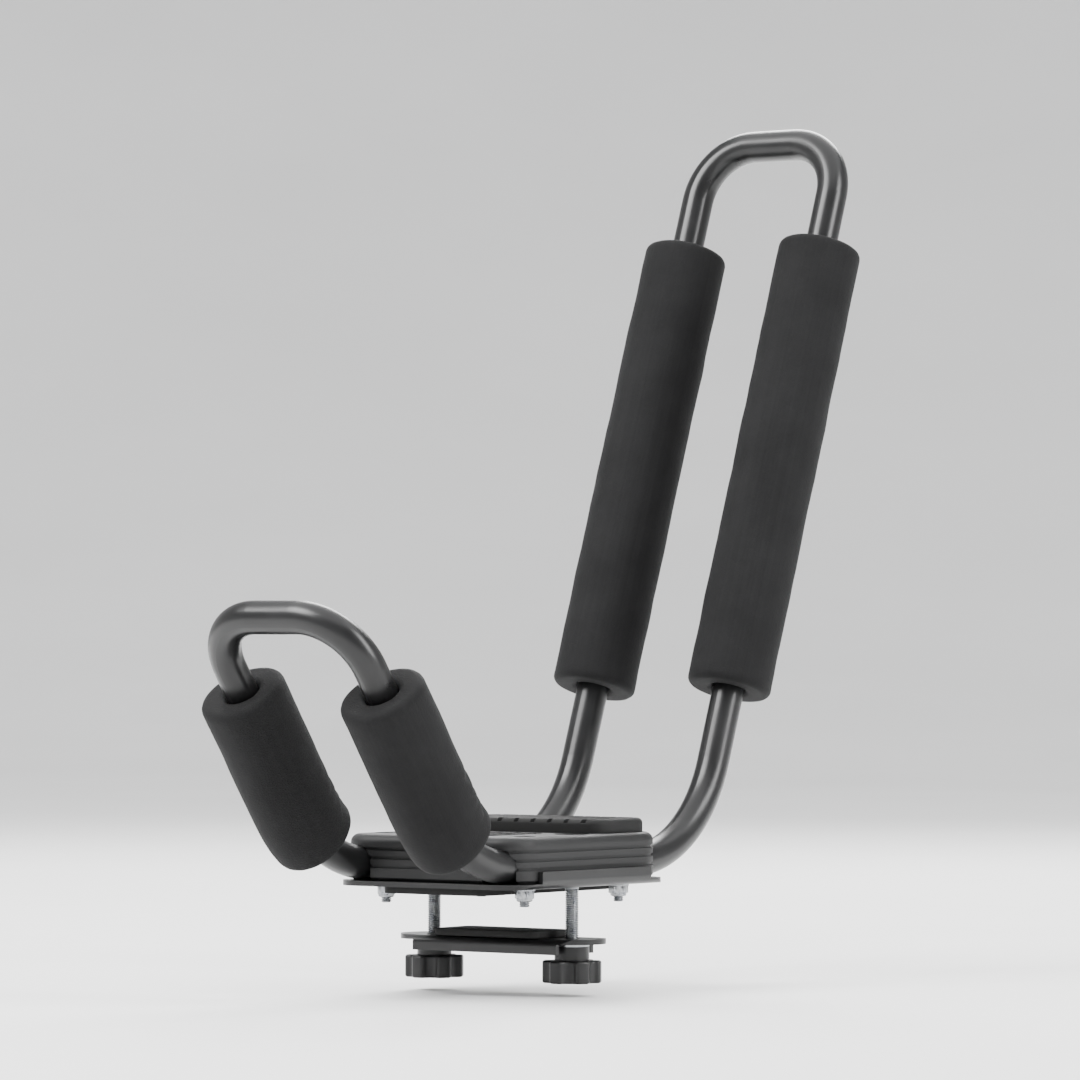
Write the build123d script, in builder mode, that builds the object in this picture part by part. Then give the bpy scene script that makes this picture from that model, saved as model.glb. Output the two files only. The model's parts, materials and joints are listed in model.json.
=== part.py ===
"""J style kayak carrier: a padded cradle of bent steel tube, clamped on a roof rack's crossbar.

Millimetres, +Z up. The origin is at the centre of the face that rests on the crossbar. The boat lies
along X, the crossbar runs along Y, the short arm leans towards -Y and the tall arm towards +Y.
"""
import os
from math import cos, radians, sin

from build123d import *

# Tube frame
tube_od = 19.0
tube_wall = 1.5
leg_spacing = 100.0  # between the centre lines of the two legs
flat_length = 120.0  # straight run in the base, between the two bends
bend_radius = 85.0  # centre line of the bends that leave the base
corner_radius = 35.0  # centre line of the corners at the top of an arm
tall_lean = 20.0  # degrees from upright
tall_straight = 365.0
short_lean = 36.0  # degrees from upright
short_straight = 96.0
joint_y = 22.0  # where the tails of the two arms meet
joint_gap = 0.5
spigot_wall = 1.5
spigot_inset = 1.0  # from each end of the straight run
spigot_clearance = 0.1

# Foam sleeves
pad_od = 50.0
pad_clearance = 0.25
pad_edge = 4.0
tall_bare_low = 45.0  # bare tube between the bend and the sleeve
tall_bare_high = 35.0  # bare tube between the sleeve and the corner
short_pad_wrap = 18.0  # degrees of the bend that the sleeve covers
short_bare_high = 16.0

# Base plate and its rubber
base_pad_thickness = 4.0
base_pad_side = 13.0  # from the leg lines to the pad
base_pad_end = 4.0  # from the ends of the saddle to the pad
base_pad_corner = 8.0
tread_side = 10.0  # rubber left at each side of a tread slot
tread_width = 5.0
tread_depth = 1.5
tread_pitch = 14.0
tread_rows = 8
plate_thickness = 3.0
plate_bend = 2.0  # inside radius of the folded lips
plate_margin = 3.0  # plate beyond the ends of the saddle
lip_height = 10.0  # above the underside of the plate
lip_gap = 0.4
tube_seat_gap = 0.1

# Moulded saddle
saddle_length = 144.0
saddle_side = 5.5  # wall outside each tube
saddle_roof = 7.5  # wall above each tube
saddle_corner = 20.0
saddle_edge = 5.0
tunnel_clearance = 0.2
core_wall = 4.0
core_rib = 3.0
core_pitch = 31.0
core_ribs = 3
line_count = 3
line_pitch = 5.0
line_height = 1.8
line_depth = 1.2
line_start = 7.5  # from the underside of the saddle to the first line
scoop_margin = 8.5  # flat top left round the ribbed scoop
scoop_depth = 4.0
scoop_corner = 9.0
scoop_rib = 3.0
scoop_pitch = 13.0
scoop_ribs = 4

# Rubber rest for the boat's edge
rest_margin = 1.0  # flat top left beside the rest
rest_bolt_gap = 1.5  # flat top left between the rest and the sunk bolt heads
rest_rise = 8.0
rest_seat = 1.5
rest_corner = 15.0
rest_edge = 3.0
rest_clearance = 0.3
rest_groove = 3.0
rest_groove_depth = 2.2
rest_groove_pitch = 12.0
rest_grooves = 9

# Frame screws, M6
screw_d = 6.0
screw_tail = 3.2  # past the nut
screw_spacing = 90.0
screw_head_d = 11.0
screw_head_height = 3.4
screw_head_round = 2.0
screw_socket = 4.0
screw_socket_depth = 2.2
nut_across_flats = 10.0
nut_height = 6.0
frame_washer_d = 12.5
frame_washer_thickness = 1.4

# Clamp bolts, M8, and what is on them
bolt_d = 8.0
bolt_sunk = 2.0  # from the underside of the knob up to the tip
bolt_head_d = 19.0
bolt_head_height = 4.6
bolt_head_rim = 1.1
bolt_neck = 8.0
bolt_tip_chamfer = 0.8
clamp_washer_d = 20.0
clamp_washer_thickness = 1.6
head_recess = 5.2
head_gap = 1.0  # round each sunk head
hole_clearance = 0.3  # round a shank that passes through
thread_clearance = 0.05  # round a shank in its nut or bush

# Clamp below the crossbar
bar_gap = 22.0  # thickness of the crossbar that the clamp is closed on
clamp_pad_thickness = 4.0
clamp_pad_side = 12.0  # from the leg lines to the pad
clamp_pad_corner = 5.0
clamp_bar_end = 20.0  # past each bolt
clamp_bar_width = 36.0
clamp_bar_thickness = 3.0
clamp_bar_flange = 9.0  # full depth of the folded sides
clamp_bar_bend = 1.5
bar_hole_clearance = 0.6

# Knobs
knob_d = 34.0
knob_grip = 13.0
knob_hub_d = 20.0
knob_hub = 8.0
knob_lobes = 6
knob_flute = 5.0
knob_flute_depth = 3.4
knob_lobe_round = 2.4
knob_rim = 1.4
bush_d = 13.0
bush_length = 16.0
bush_flange_d = 16.0
bush_flange = 1.5
bush_clearance = 0.02

# Places worked out from the sizes above
leg_x = leg_spacing / 2
flat_y = flat_length / 2
tube_r = tube_od / 2
bore_r = tube_r - tube_wall
pad_r = pad_od / 2
plate_top = base_pad_thickness + plate_thickness
tube_z = plate_top + tube_seat_gap + tube_r
saddle_top = tube_z + tube_r + saddle_roof
saddle_width = leg_spacing + tube_od + 2 * saddle_side
head_floor = saddle_top - head_recess
tunnel_r = tube_r + tunnel_clearance
neck_height = head_floor - tube_z - tunnel_r  # the neck ends where the saddle does
clamp_bar_top = -bar_gap - clamp_pad_thickness
washer_top = clamp_bar_top - clamp_bar_thickness
knob_top = washer_top - clamp_washer_thickness
knob_bottom = knob_top - knob_hub - knob_grip
nut_top = base_pad_thickness - frame_washer_thickness
screw_length = head_floor - nut_top + nut_height + screw_tail
bolt_length = head_floor - knob_bottom - bolt_sunk
clamp_bar_length = leg_spacing + 2 * clamp_bar_end
screw_hole_r = screw_d / 2 + hole_clearance
bolt_hole_r = bolt_d / 2 + hole_clearance
bolt_recess_r = bolt_head_d / 2 + head_gap
rest_near = bolt_recess_r + rest_bolt_gap
rest_far = saddle_length / 2 - saddle_edge
rest_y = (rest_near + rest_far) / 2
rest_depth = rest_far - rest_near
rest_width = saddle_width - 2 * (saddle_edge + rest_margin)
TALL, SHORT = 1, -1


def on_leg_line(plane_height, spacing=0.0):
    """Planes that face up on the two leg lines, one or two on each."""
    rows = [-spacing / 2, spacing / 2] if spacing else [0.0]
    return [Plane((x, y, plane_height)) for x in (-leg_x, leg_x) for y in rows]


def drill_legs():
    """Holes for the frame screws and the clamp bolts through what lies on the leg lines."""
    through = 2 * saddle_top
    with Locations(*on_leg_line(tube_z, screw_spacing)):
        Cylinder(screw_hole_r, through, mode=Mode.SUBTRACT)
    with Locations(*on_leg_line(tube_z)):
        Cylinder(bolt_hole_r, through, mode=Mode.SUBTRACT)


def arm_direction(side, lean):
    """Unit vector up along the straight of an arm."""
    return Vector(0, side * sin(radians(lean)), cos(radians(lean)))


def bend_point(x, side, angle):
    """Point of a leg's centre line after the bend has turned by an angle in degrees."""
    turned = radians(angle)
    reach = flat_y + bend_radius * sin(turned)
    return Vector(x, side * reach, tube_z + bend_radius * (1 - cos(turned)))


def bend_tangent(side, angle):
    """Direction of a leg's centre line after the bend has turned by an angle in degrees."""
    return Vector(0, side * cos(radians(angle)), sin(radians(angle)))


def make_arm(side, lean, straight, tail_y):
    """One arm: two legs with a bend at the base, joined at the top by two corners."""
    along = arm_direction(side, lean)
    bend_start = bend_point(leg_x, side, 0)
    bend_end = bend_point(leg_x, side, 90 - lean)
    corner_start = bend_end + along * straight
    corner_end = corner_start + along * corner_radius - Vector(corner_radius, 0, 0)
    with BuildPart() as arm:
        with BuildLine() as centre_line:
            tail = Line((leg_x, tail_y, tube_z), bend_start)
            TangentArc(bend_start, bend_end, tangent=tail % 1)
            leg = Line(bend_end, corner_start)
            TangentArc(corner_start, corner_end, tangent=leg % 1)
            Line(corner_end, (0, corner_end.Y, corner_end.Z))
        with BuildSketch(Plane(tail @ 0, z_dir=tail % 0)):
            Circle(tube_r)
            Circle(bore_r, mode=Mode.SUBTRACT)
        sweep(path=centre_line.line)
        mirror(about=Plane.YZ)
        drill_legs()
    return arm.part


def make_spigot(x):
    """Inner tube that joins the tails of one leg."""
    outer = bore_r - spigot_clearance
    length = flat_length - 2 * spigot_inset
    with BuildPart() as spigot:
        with BuildSketch(Plane((x, -length / 2, tube_z), z_dir=(0, 1, 0))):
            Circle(outer)
            Circle(outer - spigot_wall, mode=Mode.SUBTRACT)
        extrude(amount=length)
        drill_legs()
    return spigot.part


def make_tall_pad(x):
    """Straight foam sleeve on a leg of the tall arm."""
    along = arm_direction(TALL, tall_lean)
    start = bend_point(x, TALL, 90 - tall_lean) + along * tall_bare_low
    with BuildPart() as pad:
        with BuildSketch(Plane(start, z_dir=along)):
            Circle(pad_r)
            Circle(tube_r + pad_clearance, mode=Mode.SUBTRACT)
        extrude(amount=tall_straight - tall_bare_low - tall_bare_high)
        rims = pad.edges().filter_by(lambda rim: rim.geom_type == GeomType.CIRCLE and rim.radius > tube_od)
        fillet(rims, pad_edge)
    return pad.part


def make_short_pad(x):
    """Foam sleeve on a leg of the short arm, which follows the end of the bend."""
    turn = 90 - short_lean
    start_turn = turn - short_pad_wrap
    bend_end = bend_point(x, SHORT, turn)
    pad_end = bend_end + arm_direction(SHORT, short_lean) * (short_straight - short_bare_high)
    with BuildPart() as pad:
        with BuildLine() as centre_line:
            tangent = bend_tangent(SHORT, start_turn)
            TangentArc(bend_point(x, SHORT, start_turn), bend_end, tangent=tangent)
            Line(bend_end, pad_end)
        with BuildSketch(Plane(bend_point(x, SHORT, start_turn), z_dir=tangent)):
            Circle(pad_r)
            Circle(tube_r + pad_clearance, mode=Mode.SUBTRACT)
        sweep(path=centre_line.line)
        ends = pad.faces().filter_by(GeomType.PLANE)
        rims = [end.outer_wire().edges() for end in ends]
        fillet([edge for rim in rims for edge in rim], pad_edge)
    return pad.part


def make_clamp_bolt(x):
    """Carriage bolt: domed head, square neck and shank, tip down."""
    with BuildPart() as bolt:
        with BuildSketch(Plane((x, 0, head_floor), x_dir=(1, 0, 0), z_dir=(0, -1, 0))):
            with BuildLine():
                crown, rim = (0, bolt_head_height), (bolt_head_d / 2, bolt_head_rim)
                Polyline(crown, (0, 0), (bolt_head_d / 2, 0), rim)
                TangentArc(crown, rim, tangent=(1, 0))
            make_face()
        revolve(axis=Axis((x, 0, 0), (0, 0, 1)))
        with BuildSketch(Plane((x, 0, head_floor))):
            Rectangle(bolt_neck, bolt_neck)
        extrude(amount=-neck_height)
        with BuildSketch(Plane((x, 0, head_floor))):
            Circle(bolt_d / 2)
        extrude(amount=-bolt_length)
        chamfer(bolt.edges().sort_by(Axis.Z)[0], bolt_tip_chamfer)
    return bolt.part


def make_clamp_washer(x):
    """Plain washer between the clamp bar and a knob."""
    with BuildPart() as washer:
        with BuildSketch(Plane((x, 0, knob_top))):
            Circle(clamp_washer_d / 2)
            Circle(bolt_hole_r, mode=Mode.SUBTRACT)
        extrude(amount=clamp_washer_thickness)
    return washer.part


def make_knob_bush(x):
    """Threaded bush in a knob, with a flange that takes the thrust at the top of the hub."""
    with BuildPart() as bush:
        with BuildSketch(Plane((x, 0, knob_top))):
            Circle(bush_flange_d / 2)
        extrude(amount=-bush_flange)
        with BuildSketch(Plane((x, 0, knob_top))):
            Circle(bush_d / 2)
        extrude(amount=-bush_length)
        with BuildSketch(Plane((x, 0, knob_top))):
            Circle(bolt_d / 2 + thread_clearance)
        extrude(amount=-bush_length, mode=Mode.SUBTRACT)
    return bush.part


def make_knob(x):
    """Moulded star knob: a round hub above a fluted grip, with room for the bush and the bolt."""
    grip_top = knob_top - knob_hub
    flute_ring = knob_d / 2 + knob_flute - knob_flute_depth
    with BuildPart() as knob:
        with BuildSketch(Plane((x, 0, grip_top))):
            Circle(knob_d / 2)
            with PolarLocations(flute_ring, knob_lobes):
                Circle(knob_flute, mode=Mode.SUBTRACT)
        extrude(amount=-knob_grip)
        fillet(knob.edges().filter_by(Axis.Z), knob_lobe_round)
        fillet(knob.faces().filter_by(Axis.Z).edges(), knob_rim)
        with BuildSketch(Plane((x, 0, knob_top))):
            Circle(knob_hub_d / 2)
        extrude(amount=-knob_hub)
        with BuildSketch(Plane((x, 0, knob_top))):
            Circle(bush_flange_d / 2 + bush_clearance)
        extrude(amount=-bush_flange, mode=Mode.SUBTRACT)
        with BuildSketch(Plane((x, 0, knob_top))):
            Circle(bush_d / 2 + bush_clearance)
        extrude(amount=-bush_length, mode=Mode.SUBTRACT)
        with BuildSketch(Plane((x, 0, knob_top))):
            Circle(bolt_d / 2 + bar_hole_clearance)
        extrude(amount=-knob_hub - knob_grip, mode=Mode.SUBTRACT)
    return knob.part


# Moulded saddle over both tubes, hollow underneath between them
with BuildPart() as saddle:
    with BuildSketch(Plane.XY.offset(plate_top)):
        RectangleRounded(saddle_width, saddle_length, saddle_corner)
    extrude(amount=saddle_top - plate_top)
    fillet(saddle.faces().sort_by(Axis.Z)[-1].edges(), saddle_edge)
    chamfer(saddle.faces().sort_by(Axis.Z)[0].edges(), plate_bend)
    for row in range(line_count):
        with BuildSketch(Plane.XY.offset(plate_top + line_start + row * line_pitch)):
            RectangleRounded(saddle_width, saddle_length, saddle_corner)
            offset(amount=-line_depth, mode=Mode.SUBTRACT)
        extrude(amount=line_height, mode=Mode.SUBTRACT)
    for x in (-leg_x, leg_x):
        with BuildLine() as tunnel_line:
            short_bend = bend_point(x, SHORT, 90 - short_lean)
            tall_bend = bend_point(x, TALL, 90 - tall_lean)
            flat_run = Line(bend_point(x, SHORT, 0), bend_point(x, TALL, 0))
            TangentArc(flat_run @ 0, short_bend, tangent=-(flat_run % 0))
            TangentArc(flat_run @ 1, tall_bend, tangent=flat_run % 1)
        with BuildSketch(Plane(short_bend, z_dir=bend_tangent(SHORT, 90 - short_lean))):
            Circle(tunnel_r)
        sweep(path=tunnel_line.line, mode=Mode.SUBTRACT)
    with BuildSketch(Plane.XY.offset(plate_top)):
        with GridLocations(leg_spacing, 0, 2, 1):
            Rectangle(2 * tunnel_r, saddle_length)
    extrude(amount=tube_z - plate_top, mode=Mode.SUBTRACT)
    core_width = leg_spacing - 2 * tunnel_r - 2 * core_wall
    core_length = saddle_length - 2 * saddle_edge
    core_top = head_floor - core_wall
    with BuildSketch(Plane.XY.offset(plate_top)):
        RectangleRounded(core_width, core_length, core_wall)
        with GridLocations(0, core_pitch, 1, core_ribs):
            Rectangle(core_width, core_rib, mode=Mode.SUBTRACT)
        Rectangle(core_rib, core_length, mode=Mode.SUBTRACT)
    extrude(amount=core_top - plate_top, mode=Mode.SUBTRACT)
    with BuildSketch(Plane.XY.offset(saddle_top)):
        with Locations((0, rest_y)):
            RectangleRounded(rest_width, rest_depth, rest_corner)
    extrude(amount=-rest_seat, mode=Mode.SUBTRACT)
    scoop_width = leg_spacing - 2 * bolt_recess_r - 2 * scoop_margin
    scoop_near = rest_near - scoop_margin
    scoop_length = rest_far - scoop_margin + scoop_near
    with BuildSketch(Plane.XY.offset(saddle_top)):
        with Locations((0, scoop_near - scoop_length / 2)):
            RectangleRounded(scoop_width, scoop_length, scoop_corner)
            with GridLocations(scoop_pitch, 0, scoop_ribs, 1):
                Rectangle(scoop_rib, scoop_length, mode=Mode.SUBTRACT)
    extrude(amount=-scoop_depth, mode=Mode.SUBTRACT)
    with BuildSketch(*on_leg_line(saddle_top)):
        Circle(bolt_recess_r)
    extrude(amount=-head_recess, mode=Mode.SUBTRACT)
    with BuildSketch(*on_leg_line(saddle_top, screw_spacing)):
        Circle(screw_head_d / 2 + head_gap)
    extrude(amount=-head_recess, mode=Mode.SUBTRACT)
    with BuildSketch(*on_leg_line(head_floor)):
        Rectangle(bolt_neck + hole_clearance, bolt_neck + hole_clearance)
    extrude(amount=tube_z - head_floor, mode=Mode.SUBTRACT)
    drill_legs()

# Ribbed rubber rest, let into the saddle over the screws beside the tall arm
with BuildPart() as hull_rest:
    with BuildSketch(Plane.XY.offset(saddle_top - rest_seat)):
        with Locations((0, rest_y)):
            RectangleRounded(rest_width, rest_depth, rest_corner)
        offset(amount=-rest_clearance, mode=Mode.REPLACE)
    extrude(amount=rest_seat + rest_rise)
    fillet(hull_rest.faces().sort_by(Axis.Z)[-1].edges(), rest_edge)
    with BuildSketch(Plane.XY.offset(saddle_top + rest_rise)):
        with Locations((0, rest_y)):
            with GridLocations(rest_groove_pitch, 0, rest_grooves, 1):
                Rectangle(rest_groove, rest_depth)
    extrude(amount=-rest_groove_depth, mode=Mode.SUBTRACT)

# Base plate with a folded lip along each side of the saddle
lip_outer = saddle_width / 2 + lip_gap + plate_thickness
with BuildPart() as base_plate:
    with BuildSketch(Plane.XZ.offset(-saddle_length / 2 - plate_margin)):
        with BuildLine():
            FilletPolyline(
                (0, base_pad_thickness),
                (lip_outer, base_pad_thickness),
                (lip_outer, base_pad_thickness + lip_height),
                radius=plate_bend + plate_thickness,
            )
            offset(amount=plate_thickness, side=Side.LEFT)
        make_face()
        mirror(about=Plane.YZ)
    extrude(amount=saddle_length + 2 * plate_margin)
    with BuildSketch(Plane.XY.offset(base_pad_thickness)):
        RectangleRounded(2 * lip_outer, saddle_length + 2 * plate_margin, saddle_corner)
    extrude(amount=lip_height, mode=Mode.INTERSECT)
    with BuildSketch(Plane.XY.offset(plate_top)):
        Rectangle(2 * lip_outer, saddle_length + 2 * plate_margin)
        Rectangle(2 * lip_outer, saddle_length - 2 * saddle_corner, mode=Mode.SUBTRACT)
    extrude(amount=lip_height, mode=Mode.SUBTRACT)
    drill_legs()

# Rubber pad on the crossbar, with a row of tread slots
base_pad_width = leg_spacing - 2 * base_pad_side
with BuildPart() as base_pad:
    with BuildSketch():
        RectangleRounded(base_pad_width, saddle_length - 2 * base_pad_end, base_pad_corner)
    extrude(amount=base_pad_thickness)
    with BuildSketch():
        with GridLocations(0, tread_pitch, 1, tread_rows):
            SlotOverall(base_pad_width - 2 * tread_side, tread_width)
    extrude(amount=tread_depth, mode=Mode.SUBTRACT)

# Frame screws with their washers and nuts, four of each
with BuildPart() as frame_screws:
    with BuildSketch(*on_leg_line(head_floor, screw_spacing)):
        Circle(screw_head_d / 2)
    extrude(amount=screw_head_height)
    fillet(frame_screws.edges().group_by(Axis.Z)[-1], screw_head_round)
    with BuildSketch(*on_leg_line(head_floor, screw_spacing)):
        Circle(screw_d / 2)
    extrude(amount=-screw_length)
    with BuildSketch(*on_leg_line(head_floor + screw_head_height, screw_spacing)):
        RegularPolygon(screw_socket / 2, 6, major_radius=False)
    extrude(amount=-screw_socket_depth, mode=Mode.SUBTRACT)

with BuildPart() as frame_washers:
    with BuildSketch(*on_leg_line(base_pad_thickness, screw_spacing)):
        Circle(frame_washer_d / 2)
        Circle(screw_hole_r, mode=Mode.SUBTRACT)
    extrude(amount=-frame_washer_thickness)

with BuildPart() as frame_nuts:
    with BuildSketch(*on_leg_line(nut_top, screw_spacing)):
        RegularPolygon(nut_across_flats / 2, 6, major_radius=False)
        Circle(screw_d / 2 + thread_clearance, mode=Mode.SUBTRACT)
    extrude(amount=-nut_height)

# Clamp bar: a channel with its sides folded down, rounded at the ends
with BuildPart() as clamp_bar:
    with BuildSketch(Plane.YZ.offset(-clamp_bar_length / 2)):
        with BuildLine():
            FilletPolyline(
                (0, clamp_bar_top),
                (clamp_bar_width / 2, clamp_bar_top),
                (clamp_bar_width / 2, clamp_bar_top - clamp_bar_flange),
                radius=clamp_bar_bend + clamp_bar_thickness,
            )
            offset(amount=clamp_bar_thickness, side=Side.RIGHT)
        make_face()
        mirror(about=Plane.YZ)
    extrude(amount=clamp_bar_length)
    with BuildSketch(Plane.XY.offset(clamp_bar_top)):
        SlotOverall(clamp_bar_length, clamp_bar_width)
    extrude(amount=-clamp_bar_flange, mode=Mode.INTERSECT)
    with BuildSketch(Plane.XY.offset(washer_top)):
        Rectangle(clamp_bar_length, clamp_bar_width)
        Rectangle(clamp_bar_length - clamp_bar_width, clamp_bar_width, mode=Mode.SUBTRACT)
    extrude(amount=-clamp_bar_flange, mode=Mode.SUBTRACT)
    with BuildSketch(*on_leg_line(clamp_bar_top)):
        Circle(bolt_d / 2 + bar_hole_clearance)
    extrude(amount=-clamp_bar_thickness, mode=Mode.SUBTRACT)

# Rubber pad on the clamp bar
with BuildPart() as clamp_pad:
    with BuildSketch(Plane.XY.offset(clamp_bar_top)):
        RectangleRounded(leg_spacing - 2 * clamp_pad_side, clamp_bar_width, clamp_pad_corner)
    extrude(amount=clamp_pad_thickness)

pieces = {
    "tall_arm": make_arm(TALL, tall_lean, tall_straight, joint_y + joint_gap),
    "short_arm": make_arm(SHORT, short_lean, short_straight, joint_y),
    "saddle": saddle.part,
    "hull_rest": hull_rest.part,
    "base_plate": base_plate.part,
    "base_pad": base_pad.part,
    "frame_screws": frame_screws.part,
    "frame_washers": frame_washers.part,
    "frame_nuts": frame_nuts.part,
    "clamp_bar": clamp_bar.part,
    "clamp_pad": clamp_pad.part,
}
for end, x in (("front", -leg_x), ("rear", leg_x)):
    pieces[f"spigot_{end}"] = make_spigot(x)
    pieces[f"tall_pad_{end}"] = make_tall_pad(x)
    pieces[f"short_pad_{end}"] = make_short_pad(x)
    pieces[f"clamp_bolt_{end}"] = make_clamp_bolt(x)
    pieces[f"clamp_washer_{end}"] = make_clamp_washer(x)
    pieces[f"knob_bush_{end}"] = make_knob_bush(x)
    pieces[f"knob_{end}"] = make_knob(x)

os.makedirs("parts", exist_ok=True)
for name, piece in pieces.items():
    piece.label = name
    export_step(piece, f"parts/{name}.step")
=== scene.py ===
"""Looks of a J style kayak carrier: a padded cradle of bent tube on a clamped base.

Metres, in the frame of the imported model. The origin is the middle of the seat under the base, X runs from
the front leg of each arm to the rear one, Y from the short arm to the tall one, and Z up.
"""
from __future__ import annotations

import json
import logging
import math
from dataclasses import dataclass, field
from enum import Enum
from typing import Any

import bmesh
import bpy
from mathutils import Matrix, Vector

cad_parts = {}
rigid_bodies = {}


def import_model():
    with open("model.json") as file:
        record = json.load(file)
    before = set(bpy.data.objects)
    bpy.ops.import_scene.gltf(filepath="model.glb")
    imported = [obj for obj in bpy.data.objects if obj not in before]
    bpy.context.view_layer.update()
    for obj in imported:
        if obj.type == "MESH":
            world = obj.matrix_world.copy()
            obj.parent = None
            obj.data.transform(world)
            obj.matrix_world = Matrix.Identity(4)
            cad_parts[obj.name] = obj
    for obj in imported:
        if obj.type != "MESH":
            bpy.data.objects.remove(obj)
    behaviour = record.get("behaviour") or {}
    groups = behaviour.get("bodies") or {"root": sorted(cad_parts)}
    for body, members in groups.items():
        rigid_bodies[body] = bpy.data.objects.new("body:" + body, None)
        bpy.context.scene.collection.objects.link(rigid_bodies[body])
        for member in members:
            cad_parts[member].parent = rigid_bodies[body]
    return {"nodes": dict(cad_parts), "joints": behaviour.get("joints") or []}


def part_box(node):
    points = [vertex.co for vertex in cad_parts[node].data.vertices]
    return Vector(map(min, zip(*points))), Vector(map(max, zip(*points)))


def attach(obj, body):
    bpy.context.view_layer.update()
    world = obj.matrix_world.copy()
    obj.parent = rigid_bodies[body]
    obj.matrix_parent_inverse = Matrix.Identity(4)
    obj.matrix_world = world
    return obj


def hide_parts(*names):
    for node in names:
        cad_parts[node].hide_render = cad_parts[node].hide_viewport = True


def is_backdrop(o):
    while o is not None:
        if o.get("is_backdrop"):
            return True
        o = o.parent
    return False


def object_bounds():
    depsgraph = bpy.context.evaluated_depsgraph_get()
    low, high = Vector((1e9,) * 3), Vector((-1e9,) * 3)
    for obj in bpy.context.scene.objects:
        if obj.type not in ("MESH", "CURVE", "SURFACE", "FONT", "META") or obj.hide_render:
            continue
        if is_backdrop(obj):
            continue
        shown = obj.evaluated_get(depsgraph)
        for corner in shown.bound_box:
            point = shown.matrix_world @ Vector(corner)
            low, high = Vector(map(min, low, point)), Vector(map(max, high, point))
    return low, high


LOG = logging.getLogger("kayak_carrier")
FULL_TURN = 2 * math.pi
MERGE_DISTANCE = 1e-6
ROUND_SEGMENTS = 48
SLEEVE_UV = "UVMap"
CUT_END = "cut_end"
Colour = tuple[float, float, float, float]
Profile = tuple[tuple[float, float], ...]
Tree = bpy.types.NodeTree
Socket = bpy.types.NodeSocket
Mesh = bpy.types.Mesh
Object = bpy.types.Object


class Choice(Enum):
    """A choice among named options."""

    @property
    def word(self) -> str:
        """The option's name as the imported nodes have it."""
        return self.name.lower()


class End(Choice):
    """The two ends of the carrier, as signs of X."""

    FRONT = -1
    REAR = 1


class Nodes:
    """Adds nodes to a tree and joins their sockets."""

    def __init__(self, tree: Tree) -> None:
        """Keeps the tree that the nodes go into."""
        self.tree = tree

    def add(self, kind: str, inputs: dict[Any, Any] | None = None, **settings: Any) -> bpy.types.Node:
        """Adds one node.

        Args:
            kind: The node's type name.
            inputs: Values or output sockets, by the input's name or number.
            settings: The node's own properties, set before its inputs.

        Returns:
            The new node.
        """
        node = self.tree.nodes.new(kind)
        for key, value in settings.items():
            setattr(node, key, value)
        for key, value in (inputs or {}).items():
            socket = node.inputs[key]
            if isinstance(value, Socket):
                self.tree.links.new(value, socket)
            else:
                socket.default_value = value
        return node

    def math(self, operation: str, *values: Any) -> Socket:
        """The result of a math node on values in order."""
        return self.add("ShaderNodeMath", dict(enumerate(values)), operation=operation).outputs[0]

    def vector(self, operation: str, *values: Any, result: str = "Vector") -> Socket:
        """A result of a vector math node on vectors in order."""
        return self.add("ShaderNodeVectorMath", dict(enumerate(values)), operation=operation).outputs[result]

    def scaled(self, vector: Any, factor: Any) -> Socket:
        """A vector times a number."""
        inputs = {0: vector, "Scale": factor}
        return self.add("ShaderNodeVectorMath", inputs, operation="SCALE").outputs["Vector"]

    def span(self, value: Any, low: Any, high: Any, to_low: Any = 0.0, to_high: Any = 1.0,
             ease: str = "LINEAR") -> Socket:
        """A value mapped from one range to another and held there, on a straight or SMOOTHSTEP line."""
        inputs = {"Value": value, "From Min": low, "From Max": high, "To Min": to_low, "To Max": to_high}
        return self.add("ShaderNodeMapRange", inputs, interpolation_type=ease).outputs["Result"]

    def blend(self, share: Any, first: Any, second: Any) -> Socket:
        """A mix of two colours, by the share of the second."""
        return self.add("ShaderNodeMix", {0: share, 6: first, 7: second}, data_type="RGBA").outputs[2]

    def noise(self, place: Any, scale: Any, detail: float, roughness: float) -> Socket:
        """The value of a noise texture with a number of cells per metre."""
        inputs = {"Vector": place, "Scale": scale, "Detail": detail, "Roughness": roughness}
        return self.add("ShaderNodeTexNoise", inputs).outputs[0]


class Group(Nodes):
    """A node group with named inputs and outputs."""

    def __init__(self, name: str, kind: str, inputs: dict[str, str], outputs: dict[str, str]) -> None:
        """Starts the group.

        Args:
            name: The group's name.
            kind: ShaderNodeTree or GeometryNodeTree.
            inputs: Socket types by name.
            outputs: Socket types by name.
        """
        super().__init__(bpy.data.node_groups.new(name, kind))
        for way, sockets in (("INPUT", inputs), ("OUTPUT", outputs)):
            for label, socket in sockets.items():
                self.tree.interface.new_socket(label, in_out=way, socket_type=f"NodeSocket{socket}")
        self.given = self.add("NodeGroupInput").outputs

    def end(self, results: dict[str, Socket]) -> Tree:
        """Puts out results by name and gives the finished tree."""
        self.add("NodeGroupOutput", results)
        return self.tree


class Built(Choice):
    """Node trees by name, each made by the method that has its option's name."""

    def tree(self) -> Tree:
        """The tree, built the first time it is asked for."""
        return bpy.data.node_groups.get(self.value) or getattr(self, f"_{self.word}")()


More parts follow.
